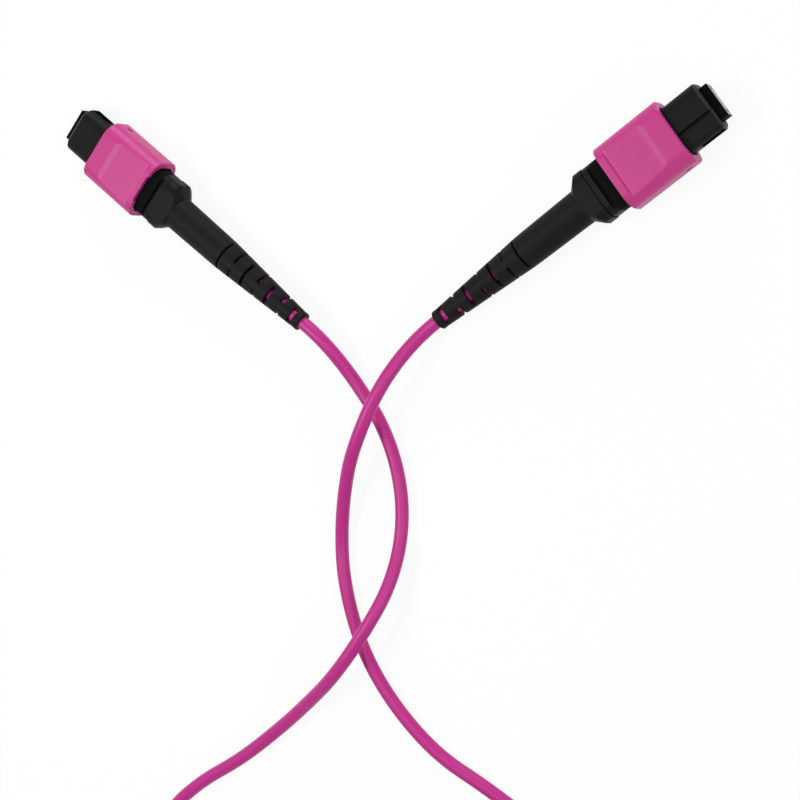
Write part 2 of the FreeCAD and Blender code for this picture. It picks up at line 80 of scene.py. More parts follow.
def addNode(tree, kind, settings={}, inputs={}):
    node = tree.nodes.new("ShaderNode" + kind)
    for name, value in settings.items():
        setattr(node, name, value)
    fillInputs(tree, node, inputs)
    return node


def newMaterial(name):
    material = bpy.data.materials.new(name)
    material.use_nodes = True
    tree = material.node_tree
    return material, tree, tree.nodes["Principled BSDF"]


# sleeve: PBT moulded in a spark-eroded tool, satin magenta with a faint grain
# the real grain is about 0.05 mm, drawn coarser to show
sleevePbt, tree, shader = newMaterial("mouldedMagentaPbt")
place = addNode(tree, "TexCoord").outputs["Object"]
clouds = addNode(tree, "TexNoise", inputs={"Vector": place, "Scale": 1 / (4 * mm), "Detail": 3.0})
grain = addNode(tree, "TexNoise", inputs={"Vector": place, "Scale": 1 / (0.18 * mm), "Detail": 2.0})
tint = addNode(tree, "Mix", {"data_type": "RGBA"}, {
    "Factor": clouds.outputs["Fac"], mixA: linear("#BC3680"), mixB: linear("#C13B85")})
satin = addNode(tree, "MapRange", inputs={"Value": grain.outputs["Fac"], "To Min": 0.34, "To Max": 0.44})
bump = addNode(tree, "Bump", inputs={"Height": grain.outputs["Fac"], "Strength": 0.12, "Distance": 0.03 * mm})
fillInputs(tree, shader, {
    "Base Color": tint.outputs[mixColour], "Roughness": satin.outputs["Result"],
    "Normal": bump.outputs["Normal"], "IOR": 1.55, "Specular IOR Level": 0.22})

# housing: glass-filled black PBT, an even satin with tiny lighter flecks
# the real flecks are about 0.1 mm, drawn coarser to show
housingPbt, tree, shader = newMaterial("glassFilledBlackPbt")
place = addNode(tree, "TexCoord").outputs["Object"]
flecks = addNode(tree, "TexNoise", inputs={
    "Vector": place, "Scale": 1 / (0.35 * mm), "Detail": 4.0, "Roughness": 0.7})
tint = addNode(tree, "Mix", {"data_type": "RGBA"}, {
    "Factor": flecks.outputs["Fac"], mixA: linear("#101011"), mixB: linear("#171718")})
satin = addNode(tree, "MapRange", inputs={"Value": flecks.outputs["Fac"], "To Min": 0.36, "To Max": 0.52})
bump = addNode(tree, "Bump", inputs={"Height": flecks.outputs["Fac"], "Strength": 0.1, "Distance": 0.03 * mm})
fillInputs(tree, shader, {
    "Base Color": tint.outputs[mixColour], "Roughness": satin.outputs["Result"],
    "Normal": bump.outputs["Normal"], "IOR": 1.5, "Specular IOR Level": 0.07})

# rear block: the same PBT from a coarsely spark-eroded wall, so it throws back less; its darker colour is
# painted shade, cast by the sleeve in front of it
# the real grain is about 0.06 mm, drawn coarser to show
shadedBlockPbt, tree, shader = newMaterial("blackPbtPaintedShade")
place = addNode(tree, "TexCoord").outputs["Object"]
grain = addNode(tree, "TexNoise", inputs={
    "Vector": place, "Scale": 1 / (0.2 * mm), "Detail": 4.0, "Roughness": 0.7})
# painted shade: the block's colour is darkened where the sleeve shades it
tint = addNode(tree, "Mix", {"data_type": "RGBA"}, {
    "Factor": grain.outputs["Fac"], mixA: linear("#070708"), mixB: linear("#101011")})
bump = addNode(tree, "Bump", inputs={"Height": grain.outputs["Fac"], "Strength": 0.35, "Distance": 0.05 * mm})
fillInputs(tree, shader, {
    "Base Color": tint.outputs[mixColour], "Roughness": 0.7, "Normal": bump.outputs["Normal"],
    "IOR": 1.5, "Specular IOR Level": 0.04})

# front edge of the nose: the same PBT, coloured lighter as a painted highlight on the faces that lean forward,
# in uneven patches
litEdgePbt, tree, shader = newMaterial("blackPbtPaintedHighlight")
place = addNode(tree, "TexCoord").outputs["Object"]
highlightPatches = addNode(tree, "TexNoise", inputs={
    "Vector": place, "Scale": 1 / (0.6 * mm), "Detail": 4.0, "Roughness": 0.6})
tint = addNode(tree, "Mix", {"data_type": "RGBA"}, {
    "Factor": highlightPatches.outputs["Fac"], mixA: linear("#272728"), mixB: linear("#363637")})
satin = addNode(tree, "MapRange", inputs={"Value": highlightPatches.outputs["Fac"], "To Min": 0.3, "To Max": 0.42})
fillInputs(tree, shader, {
    "Base Color": tint.outputs[mixColour], "Roughness": satin.outputs["Result"],
    "IOR": 1.5, "Specular IOR Level": 0.07})

# boot: moulded thermoplastic rubber, soft broad sheen and a fine matt skin
# the real skin is about 0.05 mm, drawn coarser to show
bootRubber, tree, shader = newMaterial("mouldedBlackRubber")
place = addNode(tree, "TexCoord").outputs["Object"]
skin = addNode(tree, "TexNoise", inputs={"Vector": place, "Scale": 1 / (0.25 * mm), "Detail": 3.0})
blooms = addNode(tree, "TexNoise", inputs={"Vector": place, "Scale": 1 / (6 * mm), "Detail": 2.0})
tint = addNode(tree, "Mix", {"data_type": "RGBA"}, {
    "Factor": blooms.outputs["Fac"], mixA: linear("#0E0E0F"), mixB: linear("#141416")})
satin = addNode(tree, "MapRange", inputs={"Value": skin.outputs["Fac"], "To Min": 0.48, "To Max": 0.6})
bump = addNode(tree, "Bump", inputs={"Height": skin.outputs["Fac"], "Strength": 0.15, "Distance": 0.04 * mm})
fillInputs(tree, shader, {
    "Base Color": tint.outputs[mixColour], "Roughness": satin.outputs["Result"],
    "Normal": bump.outputs["Normal"], "Specular IOR Level": 0.09})

# ferrule: glass-filled PPS, dull where moulded; its flecks are about 0.1 mm, drawn coarser to show
ferrulePps, tree, shader = newMaterial("mouldedDarkPps")
place = addNode(tree, "TexCoord").outputs["Object"]
flecks = addNode(tree, "TexNoise", inputs={"Vector": place, "Scale": 1 / (0.3 * mm), "Detail": 3.0})
tint = addNode(tree, "Mix", {"data_type": "RGBA"}, {
    "Factor": flecks.outputs["Fac"], mixA: linear("#040405"), mixB: linear("#080808")})
fillInputs(tree, shader, {"Base Color": tint.outputs[mixColour], "Roughness": 0.6, "Specular IOR Level": 0.03})

# its end face: the same PPS, ground and polished flat, with its glass filler laid bare; its light grey colour
# is partly that bared filler and partly a painted reflection, bright at a flat angle polishing marks are about
# 0.02 mm, drawn coarser to show
polishedPps, tree, shader = newMaterial("polishedDarkPps")
place = addNode(tree, "TexCoord").outputs["Object"]
marks = addNode(tree, "TexNoise", inputs={"Vector": place, "Scale": 1 / (0.15 * mm), "Detail": 3.0})
polish = addNode(tree, "MapRange", inputs={"Value": marks.outputs["Fac"], "To Min": 0.2, "To Max": 0.26})
fillInputs(tree, shader, {"Base Color": linear("#6A6A6C"), "Roughness": polish.outputs["Result"], "IOR": 1.6})

# fibre ends: bare silica, clear, painted bright, each 0.125 mm across with a painted glint or two
fibreSilica, tree, shader = newMaterial("polishedSilica")
place = addNode(tree, "TexCoord").outputs["Object"]
glint = addNode(tree, "TexNoise", inputs={"Vector": place, "Scale": 1 / (0.08 * mm)})
tint = addNode(tree, "Mix", {"data_type": "RGBA"}, {
    "Factor": glint.outputs["Fac"], mixA: linear("#B9C4CC"), mixB: linear("#DDE5EA")})
fillInputs(tree, shader, {"Base Color": tint.outputs[mixColour], "Roughness": 0.08, "IOR": 1.458})

# cable: extruded low-smoke jacket, semi-gloss, with a slow unevenness along it
cableJacket, tree, shader = newMaterial("extrudedMagentaJacket")
place = addNode(tree, "TexCoord").outputs["Object"]
streaks = addNode(tree, "TexNoise", inputs={"Vector": place, "Scale": 1 / (7 * mm), "Detail": 3.0})
ripple = addNode(tree, "TexNoise", inputs={"Vector": place, "Scale": 1 / (0.9 * mm), "Detail": 2.0})
tint = addNode(tree, "Mix", {"data_type": "RGBA"}, {
    "Factor": streaks.outputs["Fac"], mixA: linear("#B52680"), mixB: linear("#BD2E88")})
gloss = addNode(tree, "MapRange", inputs={"Value": ripple.outputs["Fac"], "To Min": 0.3, "To Max": 0.42})
bump = addNode(tree, "Bump", inputs={"Height": ripple.outputs["Fac"], "Strength": 0.08, "Distance": 0.05 * mm})
fillInputs(tree, shader, {
    "Base Color": tint.outputs[mixColour], "Roughness": gloss.outputs["Result"],
    "Normal": bump.outputs["Normal"], "IOR": 1.5, "Specular IOR Level": 0.25})

# springs and pin clamp: drawn stainless steel; its draw marks are about 0.02 mm, drawn coarser to show
springSteel, tree, shader = newMaterial("drawnStainlessSteel")
place = addNode(tree, "TexCoord").outputs["Object"]
marks = addNode(tree, "TexNoise", inputs={"Vector": place, "Scale": 1 / (0.12 * mm), "Detail": 2.0})
shine = addNode(tree, "MapRange", inputs={"Value": marks.outputs["Fac"], "To Min": 0.22, "To Max": 0.4})
fillInputs(tree, shader, {
    "Base Color": linear("#B8B5B0"), "Roughness": shine.outputs["Result"], "Metallic": 1.0})

# crimp ring: nickel-plated brass, pressed, so slightly wavy
crimpNickel, tree, shader = newMaterial("nickelPlatedBrass")
place = addNode(tree, "TexCoord").outputs["Object"]
waves = addNode(tree, "TexNoise", inputs={"Vector": place, "Scale": 1 / (0.8 * mm), "Detail": 2.0})
shine = addNode(tree, "MapRange", inputs={"Value": waves.outputs["Fac"], "To Min": 0.18, "To Max": 0.34})
bump = addNode(tree, "Bump", inputs={"Height": waves.outputs["Fac"], "Strength": 0.15, "Distance": 0.05 * mm})
fillInputs(tree, shader, {
    "Base Color": linear("#C9C4B8"), "Roughness": shine.outputs["Result"],
    "Normal": bump.outputs["Normal"], "Metallic": 1.0})

# small sleeve behind the ferrule: soft silicone rubber, matt grey; its dust is drawn coarser to show
softSilicone, tree, shader = newMaterial("softGreySilicone")
place = addNode(tree, "TexCoord").outputs["Object"]
dust = addNode(tree, "TexNoise", inputs={"Vector": place, "Scale": 1 / (0.4 * mm), "Detail": 3.0})
tint = addNode(tree, "Mix", {"data_type": "RGBA"}, {
    "Factor": dust.outputs["Fac"], mixA: linear("#55565A"), mixB: linear("#63656A")})
fillInputs(tree, shader, {"Base Color": tint.outputs[mixColour], "Roughness": 0.7})

# fibre ribbon: twelve acrylate-coated fibres side by side at 0.25 mm
fibreAcrylate, tree, shader = newMaterial("acrylateCoatedFibre")
place = addNode(tree, "TexCoord").outputs["Object"]
shade = addNode(tree, "TexNoise", inputs={"Vector": place, "Scale": 1 / (0.25 * mm), "Detail": 1.0})
tint = addNode(tree, "Mix", {"data_type": "RGBA"}, {
    "Factor": shade.outputs["Fac"], mixA: linear("#9FC7C9"), mixB: linear("#C3E0DF")})
fillInputs(tree, shader, {"Base Color": tint.outputs[mixColour], "Roughness": 0.3})

# strap: woven hook-and-loop tape, black and dull with a little fuzz
# the real threads are about 0.5 mm apart, drawn as ribs of 1.4 mm to show
strapWeave, tree, shader = newMaterial("wovenLoopTape")
place = addNode(tree, "TexCoord").outputs["Object"]
ribSpacing = 1.395 * mm
ribScale = 2 * math.pi / (10 * math.sqrt(2) * ribSpacing)  # a diagonal wave runs at ten times x plus y
warp = addNode(tree, "TexWave", {"bands_direction": "DIAGONAL"}, {
    "Vector": place, "Scale": ribScale, "Distortion": 1.5})
fuzz = addNode(tree, "TexNoise", inputs={"Vector": place, "Scale": 1 / (0.3 * mm), "Detail": 4.0})
mixed = addNode(tree, "Math", {"operation": "ADD"}, {0: warp.outputs["Fac"], 1: fuzz.outputs["Fac"]})
tint = addNode(tree, "Mix", {"data_type": "RGBA"}, {
    "Factor": fuzz.outputs["Fac"], mixA: linear("#17171A"), mixB: linear("#2A2A2E")})
bump = addNode(tree, "Bump", inputs={"Height": mixed.outputs["Value"], "Strength": 0.6, "Distance": 0.1 * mm})
fillInputs(tree, shader, {
    "Base Color": tint.outputs[mixColour], "Roughness": 0.85, "Normal": bump.outputs["Normal"],
    "Sheen Weight": 0.3})
print("materials made")


# where each connector lies, in mm and degrees; end b has its key side down
lie = {
    "a": {"x": 0.0, "y": 0.0, "turn": 0.0, "roll": 0.0},
    "b": {"x": -88.2, "y": 64.95, "turn": 106.2, "roll": 180.0},
}
axisHeight = 4.1
originStation = -9.8


def placement(end):
    spot = lie[end]
    moved = Matrix.Translation((spot["x"], spot["y"], axisHeight))
    turned = Matrix.Rotation(math.radians(spot["turn"]), 4, "Z")
    turned = turned @ Matrix.Rotation(math.radians(spot["roll"]), 4, "X")
    return Matrix.Scale(mm, 4) @ moved @ turned @ Matrix.Translation((-originStation, 0, 0))


# pieces are modelled in mm on the connector's axis, x = 0 at 1.2 ahead of the nose
clearFront = 1.0  # a station ahead of the whole connector
past = 1.0  # how far a cutter reaches past what it cuts
slab = 2.0  # thickness of a cutter that takes a face down
near = 1e-4  # closer than this is the same place
lengthwise = 0.4  # an edge along the axis is longer than this
across = 5.0  # an edge right across a piece is longer than this
smoothAngle = 38  # degrees, sharper edges stay sharp


def deselectAll():
    if bpy.context.mode != "OBJECT":
        bpy.ops.object.mode_set(mode="OBJECT")
    bpy.ops.object.select_all(action="DESELECT")


def makeActive(piece):
    deselectAll()
    piece.select_set(True)
    bpy.context.view_layer.objects.active = piece


def addBar(front, rear, width, height, shiftY=0.0, shiftZ=0.0, tilt=0.0):
    deselectAll()
    bpy.ops.mesh.primitive_cube_add(
        size=1, location=((front + rear) / 2, shiftY, shiftZ), rotation=(0, math.radians(tilt), 0))
    bar = bpy.context.object
    bar.scale = (front - rear, width, height)
    bpy.ops.object.transform_apply(location=True, rotation=True, scale=True)
    return bar


def addRod(front, rear, radius, sides, shiftY=0.0):
    deselectAll()
    bpy.ops.mesh.primitive_cylinder_add(
        vertices=sides, radius=radius, depth=front - rear,
        location=((front + rear) / 2, shiftY, 0), rotation=(0, math.pi / 2, 0))
    bpy.ops.object.transform_apply(location=True, rotation=True, scale=True)
    return bpy.context.object


def pickEdges(piece, wanted):
    makeActive(piece)
    bpy.ops.object.mode_set(mode="EDIT")
    bpy.ops.mesh.select_mode(type="EDGE")
    bpy.ops.mesh.select_all(action="DESELECT")
    bpy.ops.object.mode_set(mode="OBJECT")
    points = piece.data.vertices
    for edge in piece.data.edges:
        edge.select = wanted(points[edge.vertices[0]].co, points[edge.vertices[1]].co)
    bpy.ops.object.mode_set(mode="EDIT")


def bevelEdges(piece, wanted, width, segments):
    pickEdges(piece, wanted)
    bpy.ops.mesh.bevel(offset=width, segments=segments, affect="EDGES")
    bpy.ops.object.mode_set(mode="OBJECT")


def runsLong(a, b):
    return abs(a.x - b.x) > lengthwise and abs(a.y - b.y) + abs(a.z - b.z) < near


def runsAcross(axis):
    return lambda a, b: abs(getattr(a, axis) - getattr(b, axis)) > across


def atStation(station):
    return lambda a, b: abs(a.x - station) < near and abs(b.x - station) < near


def bisectAll(piece, point, normal, **options):
    makeActive(piece)
    bpy.ops.object.mode_set(mode="EDIT")
    bpy.ops.mesh.select_all(action="SELECT")
    bpy.ops.mesh.bisect(plane_co=point, plane_no=normal, **options)
    bpy.ops.object.mode_set(mode="OBJECT")


def carve(piece, cutter, operation="DIFFERENCE"):
    makeActive(piece)
    tool = piece.modifiers.new("carve", "BOOLEAN")
    tool.operation = operation
    tool.solver = "EXACT"
    tool.object = cutter
    bpy.ops.object.modifier_apply(modifier=tool.name)
    bpy.data.objects.remove(cutter)


def soften(piece, width, segments, angle):
    makeActive(piece)
    easing = piece.modifiers.new("easing", "BEVEL")
    easing.width = width
    easing.segments = segments
    easing.limit_method = "ANGLE"
    easing.angle_limit = math.radians(angle)
    easing.use_clamp_overlap = True
    bpy.ops.object.modifier_apply(modifier=easing.name)


def smooth(piece):
    makeActive(piece)
    bpy.ops.object.shade_smooth_by_angle(angle=math.radians(smoothAngle))
    weighing = piece.modifiers.new("weighing", "WEIGHTED_NORMAL")
    weighing.keep_sharp = True
    bpy.ops.object.modifier_apply(modifier=weighing.name)


def settle(piece, name, bodies, node, materials):
    for end in "ab":
        mesh = piece.data.copy()
        mesh.transform(placement(end))
        copy = bpy.data.objects.new(name + "_" + end, mesh)
        scene.collection.objects.link(copy)
        for material in materials:
            mesh.materials.append(material)
        smooth(copy)
        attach(copy, bodies[end])
        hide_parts(node + "_" + end)
    bpy.data.objects.remove(piece)
    print(name, "set on both ends")


root = {"a": "patch_cable", "b": "patch_cable"}
sliders = {"a": "sleeve_a_slider", "b": "sleeve_b_slider"}
floats = {"a": "ferrule_a_float", "b": "ferrule_b_float"}


# coupling sleeve: rounded shell with a scooped grip on both wide faces
# corners, rounds and chamfers are width and segments, and an easing also has its angle
sleeve = {
    "front": -8.0, "rear": -21.0, "width": 12.2, "height": 8.2, "corner": (2.9, 24), "rings": 128,
    "frontRound": (0.3, 4), "rearRound": (0.2, 3), "innerRound": (0.12, 2), "rimReach": 4.85,
    "crease": -11.6,
    "scoop": [  # mm behind the crease and mm deep
        (0.0, 0.0), (0.55, 0.15), (1.0, 0.2), (7.6, 0.46), (7.92, 0.5), (8.05, 0.0)],
    "lip": {"rear": -9.6, "width": 9.6, "height": 6.3}, "bore": {"width": 10.1, "height": 6.5},
    "boreCorner": (2.3, 10),
    "tab": {"front": -12.6, "rear": -13.9, "inner": 3.85, "outer": 5.25, "height": 1.2},
    "hole": {"front": -9.5, "rear": -10.8, "height": 0.7, "round": (0.34, 6)},
    "notch": {"width": 5.5, "depth": 0.3, "round": (0.15, 3)},
}


def scoopDepth(x):
    behind = sleeve["crease"] - x
    points = sleeve["scoop"]
    if behind <= points[0][0] or behind >= points[-1][0]:
        return 0.0
    for (startX, startDepth), (endX, endDepth) in zip(points, points[1:]):
        if behind <= endX:
            return startDepth + (endDepth - startDepth) * (behind - startX) / (endX - startX)


def aroundNotch(a, b):
    return runsAcross("z")(a, b) and a.x > sleeve["rear"]


def aroundOpening(a, b):
    return atStation(sleeve["front"])(a, b) and max(abs(a.y), abs(b.y)) < sleeve["rimReach"]


shell = addBar(sleeve["front"], sleeve["rear"], sleeve["width"], sleeve["height"])
bevelEdges(shell, runsLong, *sleeve["corner"])
bevelEdges(shell, atStation(sleeve["front"]), *sleeve["frontRound"])
bevelEdges(shell, atStation(sleeve["rear"]), *sleeve["rearRound"])
pickEdges(shell, runsAcross("x"))
bpy.ops.mesh.subdivide(number_cuts=sleeve["rings"])
bpy.ops.object.mode_set(mode="OBJECT")
for vertex in shell.data.vertices:  # press the wide faces in
    limit = sleeve["height"] / 2 - scoopDepth(vertex.co.x)
    vertex.co.z = max(-limit, min(limit, vertex.co.z))
lip, bore = sleeve["lip"], sleeve["bore"]
passages = [
    addBar(sleeve["front"] + past, lip["rear"] - past, lip["width"], lip["height"]),
    addBar(lip["rear"], sleeve["rear"] - past, bore["width"], bore["height"])]
for cutter in passages:
    bevelEdges(cutter, runsLong, *sleeve["boreCorner"])
    carve(shell, cutter)
hole = sleeve["hole"]
cutter = addBar(hole["front"], hole["rear"], sleeve["width"] * 2, hole["height"])
bevelEdges(cutter, runsAcross("y"), *hole["round"])
carve(shell, cutter)
notch = sleeve["notch"]
cutter = addBar(
    sleeve["rear"] + notch["depth"], sleeve["rear"] - past, notch["width"], sleeve["height"],
    0, -sleeve["height"] / 2)
bevelEdges(cutter, aroundNotch, *notch["round"])
carve(shell, cutter)
bevelEdges(shell, aroundOpening, *sleeve["innerRound"])
tab = sleeve["tab"]
reach = tab["outer"] - tab["inner"]
for side in (-1, 1):
    carve(shell, addBar(
        tab["front"], tab["rear"], reach, tab["height"], side * (tab["inner"] + reach / 2)), "UNION")
settle(shell, "sleeveMoulding", sliders, "coupling_sleeve", [sleevePbt])


# inner housing: nose with its key step, hollow sides, and the rear block with its groove
housing = {
    "nose": {"front": -1.2, "rear": -19.4, "width": 9.1, "height": 5.8, "corner": (2.2, 12)},
    "chamfer": (0.42, 1), "litLean": (0.3, 0.95),  # least and most that a face with the painted highlight looks forward
    "block": {"rear": -24.6, "width": 9.7, "height": 6.1, "corner": (2.2, 12)},
    "window": (6.7, 2.8), "cavity": (7.1, 3.2), "shoulder": -5.68,
    "key": {"edge": -0.9, "step": 0.5, "rear": -12.6, "chamfer": 0.34, "cutWidth": 8.0},
    "keyLine": {"front": -1.75, "width": 0.48, "depth": 0.6},
    "hollow": {"front": -1.7, "rear": -6.2, "depth": 0.6, "height": 2.2},
    "channel": {"front": -12.58, "rear": -18.4, "floor": 3.75, "height": 1.5},
    "latchWindow": {"front": -18.9, "rear": -20.3, "inner": 2.5, "outer": 6.5, "height": 1.6},
    "groove": {"front": -22.9, "rear": -23.6, "depth": 0.6, "cutWidth": 20.0},
    "easing": (0.07, 2, 40),
}
noseSize = housing["nose"]
body = addBar(noseSize["front"], noseSize["rear"], noseSize["width"], noseSize["height"])
bevelEdges(body, runsLong, *noseSize["corner"])
bevelEdges(body, atStation(noseSize["front"]), *housing["chamfer"])
blockSize = housing["block"]
rearBlock = addBar(noseSize["rear"], blockSize["rear"], blockSize["width"], blockSize["height"])
bevelEdges(rearBlock, runsLong, *blockSize["corner"])
carve(body, rearBlock, "UNION")
carve(body, addBar(clearFront, blockSize["rear"] - past, *housing["window"]))
carve(body, addBar(housing["shoulder"], blockSize["rear"] - past, *housing["cavity"]))
key = housing["key"]
stepTop = noseSize["height"] / 2 - key["step"]
stepMiddle = key["edge"] - key["cutWidth"] / 2
carve(body, addBar(clearFront, key["rear"], key["cutWidth"], slab, stepMiddle, stepTop + slab / 2))
line = housing["keyLine"]
carve(body, addBar(
    line["front"], key["rear"], line["width"], slab, key["edge"] - line["width"] / 2,
    stepTop - line["depth"] + slab / 2))
away = slab / 2 * math.sqrt(0.5) - key["chamfer"] / 2  # a tilted bar takes off the step's front edge
edgeX = noseSize["front"] + away
carve(body, addBar(
    edgeX + slab / 2, edgeX - slab / 2, key["cutWidth"], slab, stepMiddle, stepTop + away, tilt=45))
hollow = housing["hollow"]
hollowFloor = noseSize["width"] / 2 - hollow["depth"]
channel = housing["channel"]
latch = housing["latchWindow"]
latchMiddle = (latch["inner"] + latch["outer"]) / 2
groove = housing["groove"]
grooveFloor = blockSize["height"] / 2 - groove["depth"]
for side in (-1, 1):
    carve(body, addBar(
        hollow["front"], hollow["rear"], slab, hollow["height"], side * (hollowFloor + slab / 2)))
    carve(body, addBar(
        channel["front"], channel["rear"], slab, channel["height"], side * (channel["floor"] + slab / 2)))
    carve(body, addBar(
        latch["front"], latch["rear"], latch["outer"] - latch["inner"], latch["height"], side * latchMiddle))
    carve(body, addBar(
        groove["front"], groove["rear"], groove["cutWidth"], slab, 0, side * (grooveFloor + slab / 2)))
soften(body, *housing["easing"])
bisectAll(body, (groove["front"], 0, 0), (1, 0, 0))
edgeRear = noseSize["front"] - housing["chamfer"][0]
leastLean, mostLean = housing["litLean"]
for face in body.data.polygons:
    # forward-leaning faces at the nose's front edge take the painted highlight
    onEdge = face.center.x > edgeRear and leastLean < face.normal.x < mostLean
    # faces on the rear block, between the sleeve and the groove, take the painted shade
    onBlock = groove["rear"] < face.center.x < noseSize["rear"]
    face.material_index = 2 if onEdge else 1 if onBlock else 0
settle(body, "innerHousing", root, "inner_housing", [housingPbt, shadedBlockPbt, litEdgePbt])


# back body: plug, shoulders cut at 45 degrees towards the boot, and the crimp stem
back = {
    "front": -24.72, "rear": -28.12, "width": 9.9, "height": 6.4, "corner": (2.2, 12), "cut": 1.75,
    "rearReach": 3.35, "coneSides": 96, "overlap": 0.5,
    "plug": {"front": -17.2, "width": 7.0, "height": 3.1},
    "latch": {"front": -19.0, "rear": -20.2, "reach": 0.6, "sunk": 0.2, "height": 1.4},
    "stem": {"rear": -34.12, "radius": 2.0, "sides": 48}, "passage": (3.3, 1.28), "easing": (0.09, 3, 25),
}
shoulders = addBar(back["front"], back["rear"], back["width"], back["height"])
bevelEdges(shoulders, runsLong, *back["corner"])
for side in (-1, 1):
    bisectAll(
        shoulders, (back["rear"], side * (back["width"] / 2 - back["cut"]), 0), (-1, side, 0),
        use_fill=True, clear_outer=True)
deselectAll()
backLength = back["front"] - back["rear"]
bpy.ops.mesh.primitive_cone_add(
    vertices=back["coneSides"], radius1=back["rearReach"], radius2=back["rearReach"] + backLength,
    depth=backLength, location=((back["front"] + back["rear"]) / 2, 0, 0), rotation=(0, math.pi / 2, 0))
bpy.ops.object.transform_apply(location=True, rotation=True, scale=True)
carve(shoulders, bpy.context.object, "INTERSECT")
soften(shoulders, *back["easing"])
plug = back["plug"]
carve(shoulders, addBar(plug["front"], back["front"] - back["overlap"], plug["width"], plug["height"]), "UNION")
latch = back["latch"]
plugSide = plug["width"] / 2
for side in (-1, 1):
    barb = addBar(
        latch["front"], latch["rear"], latch["reach"] + latch["sunk"], latch["height"],
        side * (plugSide + (latch["reach"] - latch["sunk"]) / 2))
    pickEdges(
        barb, lambda a, b: min(a.x, b.x) > latch["front"] - near and min(side * a.y, side * b.y) > plugSide)
    bpy.ops.transform.translate(value=(0, -side * latch["reach"], 0))  # slope its front
    bpy.ops.object.mode_set(mode="OBJECT")
    carve(shoulders, barb, "UNION")
stem = back["stem"]
carve(shoulders, addRod(back["rear"] + back["overlap"], stem["rear"], stem["radius"], stem["sides"]), "UNION")
carve(shoulders, addBar(plug["front"] + past, stem["rear"] - past, *back["passage"]))
settle(shoulders, "backBody", root, "back_body", [housingPbt])


# strain relief boot: tapered rubber with pairs of slots, by turns above and beside
boot = {
    "rings": [  # station and radius
        (-28.12, 3.17), (-28.2, 3.25), (-39.4, 3.08), (-41.2, 3.03), (-42.6, 2.95),
        (-60.52, 1.81), (-60.6, 1.83), (-61.24, 1.83), (-61.32, 1.77)],
    "sides": 72, "bore": 1.33, "seat": 2.8, "seatRear": -36.7, "boreSides": 40,
    "slots": {
        "pairs": 7, "first": -41.42, "last": -58.92, "firstWidth": 0.42, "lastWidth": 1.0,
        "bridge": 1.5, "cutDepth": 6.0, "cutBreadth": 10.0},
    "easing": (0.05, 2, 50),
}
deselectAll()
startX, startRadius = boot["rings"][0]
bpy.ops.mesh.primitive_circle_add(
    vertices=boot["sides"], radius=startRadius, fill_type="NGON",
    location=(startX, 0, 0), rotation=(0, math.pi / 2, 0))
relief = bpy.context.object
bpy.ops.object.transform_apply(location=True, rotation=True, scale=True)
bpy.ops.object.mode_set(mode="EDIT")
bpy.ops.mesh.select_all(action="SELECT")
lastX, lastRadius = startX, startRadius
for x, radius in boot["rings"][1:]:
    bpy.ops.mesh.extrude_region_move(TRANSFORM_OT_translate={"value": (x - lastX, 0, 0)})
    grow = radius / lastRadius
    bpy.ops.transform.resize(value=(1, grow, grow), center_override=(x, 0, 0))
    lastX, lastRadius = x, radius
bpy.ops.mesh.select_all(action="SELECT")
bpy.ops.mesh.normals_make_consistent(inside=False)
bpy.ops.object.mode_set(mode="OBJECT")
carve(relief, addRod(boot["seatRear"], lastX - past, boot["bore"], boot["boreSides"]))
carve(relief, addRod(startX + past, boot["seatRear"], boot["seat"], boot["boreSides"]))
slots = boot["slots"]
depth, breadth = slots["cutDepth"], slots["cutBreadth"]
for index in range(slots["pairs"]):
    share = index / (slots["pairs"] - 1)
    front = slots["first"] + (slots["last"] - slots["first"]) * share
    rear = front - (slots["firstWidth"] + (slots["lastWidth"] - slots["firstWidth"]) * share)
    for side in (-1, 1):
        offset = side * (slots["bridge"] + depth) / 2
        if index % 2 == 0:
            carve(relief, addBar(front, rear, breadth, depth, 0, offset))
        else:
            carve(relief, addBar(front, rear, depth, breadth, offset, 0))
soften(relief, *boot["easing"])
settle(relief, "strainReliefBoot", root, "strain_relief_boot", [bootRubber])


# ferrule: block with a polished end, two pin holes and a row of twelve fibre ends
ferrule = {
    "front": 0.3, "rear": -5.7, "width": 6.4, "height": 2.5, "chamfer": (0.15, 2), "easing": (0.03, 2, 40),
    "flange": {"rear": -7.7, "width": 6.9, "height": 3.0},
    "pinHole": {"spacing": 4.6, "radius": 0.35, "sides": 32},
    "pocket": {"front": -4.15, "width": 3.6, "height": 0.82},
    "fibres": {"count": 12, "pitch": 0.25, "radius": 0.0625, "proud": 0.004, "sunk": 0.2, "sides": 12},
    "polished": {"depth": 0.05, "lean": 0.9},
}
block = addBar(ferrule["front"], ferrule["rear"], ferrule["width"], ferrule["height"])
bevelEdges(block, atStation(ferrule["front"]), *ferrule["chamfer"])
flange = ferrule["flange"]
carve(block, addBar(ferrule["rear"], flange["rear"], flange["width"], flange["height"]), "UNION")
pinHole = ferrule["pinHole"]
for side in (-1, 1):
    carve(block, addRod(
        clearFront, flange["rear"] - past, pinHole["radius"], pinHole["sides"], side * pinHole["spacing"] / 2))
pocket = ferrule["pocket"]
carve(block, addBar(pocket["front"], flange["rear"] - past, pocket["width"], pocket["height"]))
soften(block, *ferrule["easing"])
fibres = ferrule["fibres"]
ends = []
for index in range(fibres["count"]):
    shift = (index - (fibres["count"] - 1) / 2) * fibres["pitch"]
    ends.append(addRod(
        ferrule["front"] + fibres["proud"], ferrule["front"] - fibres["sunk"], fibres["radius"],
        fibres["sides"], shift))
makeActive(block)
for fibreEnd in ends:
    fibreEnd.select_set(True)
bpy.ops.object.join()
polished = ferrule["polished"]
for face in block.data.polygons:  # after the join, which resets them
    onFibre = face.center.x > ferrule["front"] + fibres["proud"] / 2
    onEnd = face.normal.x > polished["lean"] and face.center.x > ferrule["front"] - polished["depth"]
    face.material_index = 2 if onFibre else 1 if onEnd else 0
settle(block, "ferruleBlock", floats, "ferrule", [ferrulePps, polishedPps, fibreSilica])


